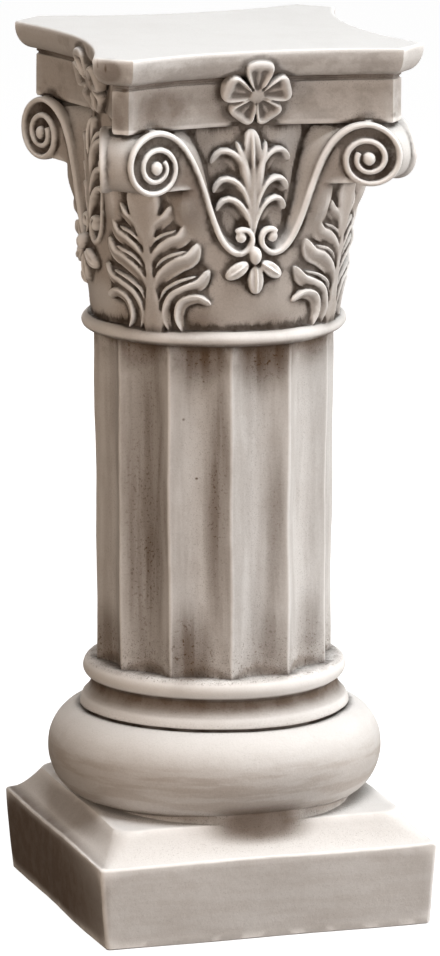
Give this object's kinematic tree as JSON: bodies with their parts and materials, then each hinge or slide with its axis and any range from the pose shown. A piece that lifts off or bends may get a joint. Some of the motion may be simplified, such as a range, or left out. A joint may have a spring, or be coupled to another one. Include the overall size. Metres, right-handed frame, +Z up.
{
  "type": "pedestal column",
  "caption": "Cast resin pedestal column with a square plinth, fluted shaft, leafy capital with corner scrolls and a flat top for a pot or bust.",
  "frame": {"origin": "centre of the plinth's underside, on the floor", "axes": "+Z up along the column, -Y towards the front face of the plinth"},
  "size_m": [0.285, 0.285, 0.72],
  "materials": {
    "resin": "antiqued ivory cast resin, matte, with brown wash in the hollows"
  },
  "bodies": {
    "root": {"column": "resin"}
  },
  "joints": []
}
